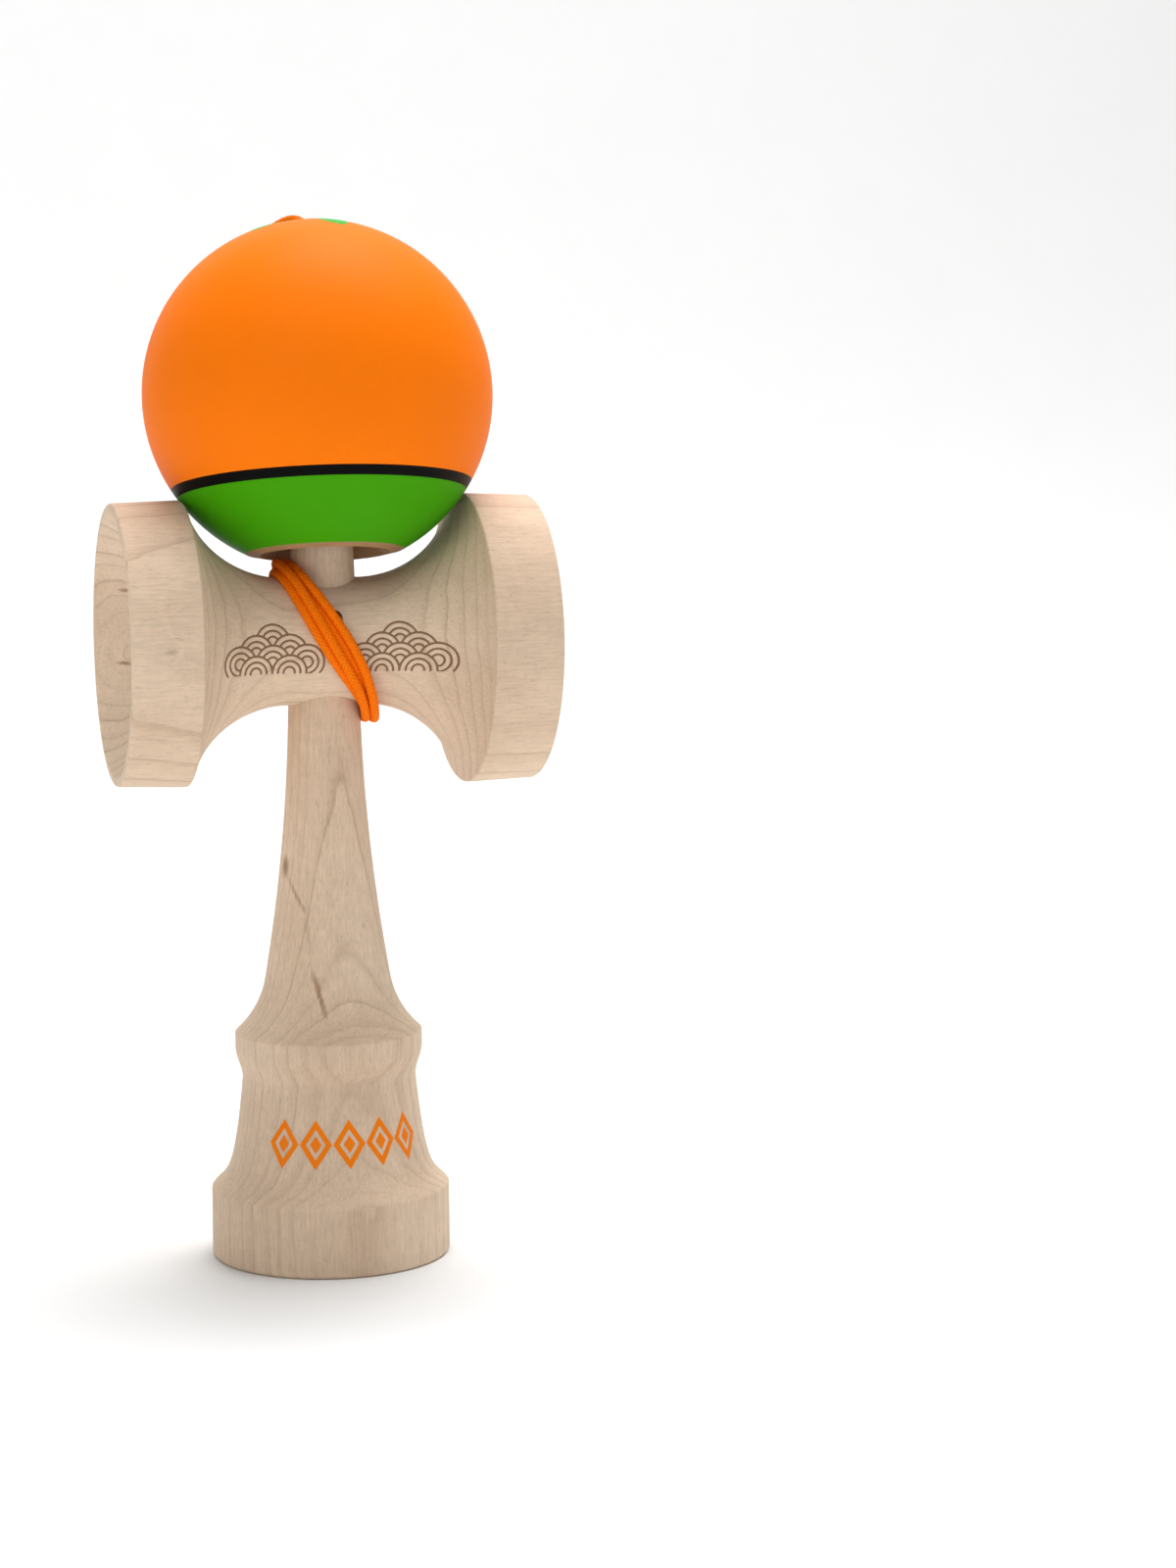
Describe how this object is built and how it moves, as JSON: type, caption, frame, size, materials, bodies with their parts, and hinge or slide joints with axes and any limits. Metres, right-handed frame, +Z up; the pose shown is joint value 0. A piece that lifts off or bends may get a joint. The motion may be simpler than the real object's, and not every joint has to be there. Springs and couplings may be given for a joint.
{
  "type": "kendama",
  "caption": "Wooden kendama standing on its base cup: turned handle through a double-cupped cross piece, painted ball on the spike, string wound over the crossing and held in the ball.",
  "frame": {"origin": "middle of the foot's rim on the floor, on the handle's axis", "axes": "+Z up along the handle to the spike, +X towards the big cup, -Y towards the front of the crossing"},
  "size_m": [0.073, 0.06, 0.1817],
  "materials": {
    "wood": "fine sanded, unvarnished, pale maple-like",
    "ball_paint": "satin paint on wood, with a black and a green band",
    "bead_wood": "plain",
    "string": "braided"
  },
  "bodies": {
    "handle": {"ken": "wood", "sarado": "wood", "ken_knot": "string", "string_wrap": "string"},
    "tether": {"string_run": "string", "string_top": "string"},
    "bead_set": {"bead": "bead_wood", "bead_knot": "string"},
    "ball": {"tama": "ball_paint"}
  },
  "joints": [
    {"name": "tama_lift", "type": "slide", "parent": "handle", "child": "tether", "axis": [0, 0, 1], "range_m": [0, 0.045], "deforming": ["string_run"]},
    {"name": "tama_rock", "type": "hinge", "parent": "tether", "child": "bead_set", "pos_m": [-0.00029, 0, 0.14979], "axis": [1, 0, 0], "range_deg": [0, 17.2], "deforming": ["string_top"]},
    {"name": "tama_spin", "type": "hinge", "parent": "bead_set", "child": "ball", "pos_m": [-0.00029, 0, 0.14979], "axis": [0, 0.1495, 0.9888], "continuous": true}
  ]
}
